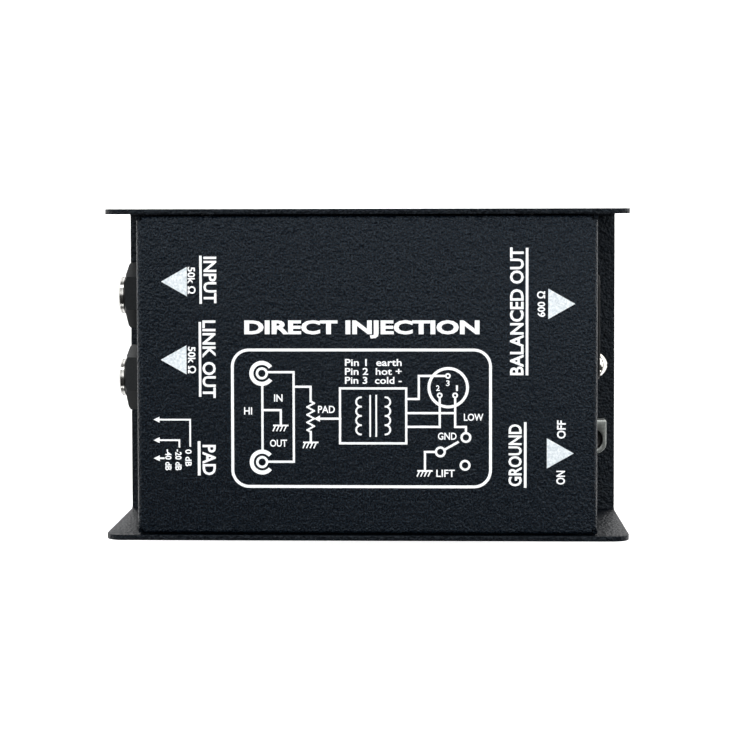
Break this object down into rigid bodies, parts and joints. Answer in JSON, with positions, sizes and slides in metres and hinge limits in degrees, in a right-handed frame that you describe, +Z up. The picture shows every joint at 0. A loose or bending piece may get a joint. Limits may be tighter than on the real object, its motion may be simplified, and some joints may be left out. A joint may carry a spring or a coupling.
{
  "type": "direct injection box",
  "caption": "Passive direct injection box: U-shaped guard chassis, folded cover, two 6.35 mm jacks and pad switch at one end, male XLR and ground lift switch at the other.",
  "frame": {"origin": "on the surface under the feet, below the middle of the case", "axes": "+X towards the XLR end, +Y across the case towards the XLR socket's side, +Z up through the printed top"},
  "size_m": [0.13, 0.082, 0.046],
  "materials": {
    "black_casting": "satin black",
    "black_moulding": "satin moulded",
    "black_nut": "moulded, satin",
    "black_screw": "black oxide",
    "board_laminate": "green solder mask",
    "bobbin_nylon": "moulded",
    "chassis_powder_coat": "coarse textured powder coat, charcoal",
    "chrome_bush": "polished plating",
    "cover_powder_coat": "fine textured powder coat, blue-black",
    "foot_rubber": "matt",
    "grey_knob": "dull plated",
    "lamination": "varnished laminations",
    "nickel_screw": "nickel plated",
    "phenolic": "phenolic board",
    "print_ink": "screen-printed ink",
    "resistor_body": "lacquered",
    "silver_contact": "silver plated",
    "tinned_metal": "tinned",
    "winding_tape": "yellow tape",
    "wire_black": "PVC",
    "wire_red": "PVC",
    "wire_white": "PVC",
    "zinc_plate": "zinc plated"
  },
  "bodies": {
    "case": {"base_channel": "chassis_powder_coat", "circuit_board": "board_laminate", "cover_nuts": "zinc_plate", "cover_screws": "black_screw", "earth_lug": "tinned_metal", "earth_wire": "wire_black", "ground_switch_base": "phenolic", "ground_switch_frame": "zinc_plate", "ground_switch_terminals": "silver_contact", "input_jack_bush": "chrome_bush", "input_jack_housing": "black_moulding", "input_jack_nut": "black_nut", "input_jack_sleeve_contact": "silver_contact", "input_jack_tip_contact": "silver_contact", "input_jack_washer": "zinc_plate", "link_jack_bush": "chrome_bush", "link_jack_housing": "black_moulding", "link_jack_nut": "black_nut", "link_jack_sleeve_contact": "silver_contact", "link_jack_tip_contact": "silver_contact", "link_jack_washer": "zinc_plate", "pad_resistors": "resistor_body", "pad_switch_base": "phenolic", "pad_switch_frame": "zinc_plate", "pad_switch_terminals": "silver_contact", "rubber_feet": "foot_rubber", "top_cover": "cover_powder_coat", "transformer_bobbin": "bobbin_nylon", "transformer_clamp": "zinc_plate", "transformer_core": "lamination", "transformer_winding": "winding_tape", "wire_cold": "wire_white", "wire_ground": "wire_black", "wire_hot": "wire_red", "xlr_insert": "black_moulding", "xlr_nuts": "zinc_plate", "xlr_pin_cold": "silver_contact", "xlr_pin_ground": "silver_contact", "xlr_pin_hot": "silver_contact", "xlr_screws": "nickel_screw", "xlr_shell": "black_casting"},
    "pad_slider": {"pad_switch_slider": "black_moulding", "pad_switch_contact": "silver_contact"},
    "ground_slider": {"ground_switch_slider": "grey_knob", "ground_switch_contact": "silver_contact"}
  },
  "joints": [
    {"name": "pad_slide", "type": "slide", "parent": "case", "child": "pad_slider", "axis": [0, 1, 0], "range_m": [-0.0035, 0.0035]},
    {"name": "ground_slide", "type": "slide", "parent": "case", "child": "ground_slider", "axis": [0, 1, 0], "range_m": [-0.0042, 0]}
  ]
}
